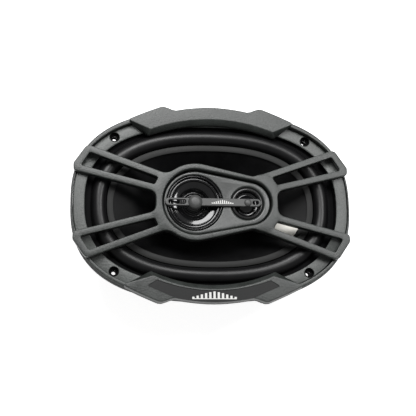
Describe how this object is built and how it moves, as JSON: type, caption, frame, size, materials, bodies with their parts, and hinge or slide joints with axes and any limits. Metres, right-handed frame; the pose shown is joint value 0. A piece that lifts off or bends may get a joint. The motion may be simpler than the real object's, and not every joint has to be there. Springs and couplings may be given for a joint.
{
  "type": "coaxial car loudspeaker",
  "caption": "Oval coaxial car loudspeaker with a grille moulding, a moving cone in a rubber surround, a centre pod with midrange and tweeter, a pressed basket and a ring magnet.",
  "frame": {"origin": "centre of the magnet's back face, on the axis of the cone and the mounting pattern; the speaker stands on its magnet", "axes": "+Z along the cone's axis, out of the front of the speaker; +X along the oval's long axis, from the midrange towards the tweeter; +Y along its short axis"},
  "size_m": [0.2362, 0.1688, 0.0973],
  "materials": {
    "basket": "satin black paint on pressed steel",
    "flange_gasket": "black cellular foam",
    "front_frame": "fine-grained satin charcoal moulding",
    "grille": "fine-grained matte charcoal moulding",
    "badge_bars": "white print, plain rising bars",
    "bar_badge": "white print, plain rising bars",
    "pod_housing": "matte charcoal moulding",
    "pod_back_plate": "matte black moulding",
    "pod_post": "zinc-plated tube",
    "post_nut": "zinc-plated",
    "phase_bar": "satin charcoal moulding",
    "mid_bezel": "glossy black",
    "mid_cone": "glossy black film cone",
    "mid_frame": "black paint",
    "mid_voice_coil": "copper wire on a bobbin",
    "mid_magnet": "dull grey ferrite",
    "tweeter_bezel": "semi-gloss black",
    "tweeter_dome": "glossy black film dome",
    "tweeter_voice_coil": "copper wire on a bobbin",
    "tweeter_magnet": "dull grey ferrite",
    "woofer_cone": "black injected polypropylene",
    "cone_edge_ring": "satin grey trim ring",
    "cone_label": "pale paper label, blank",
    "surround": "black butyl rubber",
    "spider": "resin-dipped corrugated cloth",
    "voice_coil_former": "amber polyimide film",
    "voice_coil_winding": "enamelled copper wire",
    "magnet_top_plate": "zinc-plated steel",
    "magnet_ring": "dull grey ferrite",
    "yoke_and_pole": "zinc-plated steel",
    "terminal_board": "brown fibre board",
    "terminal_positive": "tinned brass blade",
    "terminal_negative": "tinned brass blade",
    "terminal_rivet_left": "plated",
    "terminal_rivet_right": "plated",
    "tinsel_lead_positive": "braided copper tinsel",
    "tinsel_lead_negative": "braided copper tinsel",
    "mid_capacitor": "dark blue heat-shrunk sleeve",
    "tweeter_capacitor": "dark blue heat-shrunk sleeve"
  },
  "bodies": {
    "frame": {"basket": "basket", "flange_gasket": "flange_gasket", "front_frame": "front_frame", "grille": "grille", "badge_bars": "badge_bars", "bar_badge": "bar_badge", "pod_housing": "pod_housing", "pod_back_plate": "pod_back_plate", "pod_post": "pod_post", "post_nut": "post_nut", "phase_bar": "phase_bar", "mid_bezel": "mid_bezel", "mid_frame": "mid_frame", "mid_magnet": "mid_magnet", "tweeter_bezel": "tweeter_bezel", "tweeter_magnet": "tweeter_magnet", "surround": "surround", "spider": "spider", "magnet_top_plate": "magnet_top_plate", "magnet_ring": "magnet_ring", "yoke_and_pole": "yoke_and_pole", "terminal_board": "terminal_board", "terminal_positive": "terminal_positive", "terminal_negative": "terminal_negative", "terminal_rivet_left": "terminal_rivet_left", "terminal_rivet_right": "terminal_rivet_right", "tinsel_lead_positive": "tinsel_lead_positive", "tinsel_lead_negative": "tinsel_lead_negative", "mid_capacitor": "mid_capacitor", "tweeter_capacitor": "tweeter_capacitor"},
    "woofer": {"woofer_cone": "woofer_cone", "cone_edge_ring": "cone_edge_ring", "cone_label": "cone_label", "voice_coil_former": "voice_coil_former", "voice_coil_winding": "voice_coil_winding"},
    "midrange": {"mid_cone": "mid_cone", "mid_voice_coil": "mid_voice_coil"},
    "tweeter": {"tweeter_dome": "tweeter_dome", "tweeter_voice_coil": "tweeter_voice_coil"}
  },
  "joints": [
    {"name": "woofer_stroke", "type": "slide", "parent": "frame", "child": "woofer", "axis": [0, 0, 1], "range_m": [-0.004, 0.004], "stiffness_N_per_m": 3300, "deforming": ["surround", "spider", "tinsel_lead_positive", "tinsel_lead_negative"]},
    {"name": "midrange_stroke", "type": "slide", "parent": "frame", "child": "midrange", "axis": [0, 0, 1], "range_m": [-0.0005, 0.0005], "stiffness_N_per_m": 1500},
    {"name": "tweeter_stroke", "type": "slide", "parent": "frame", "child": "tweeter", "axis": [0, 0, 1], "range_m": [-0.0002, 0.0002], "stiffness_N_per_m": 1500}
  ]
}
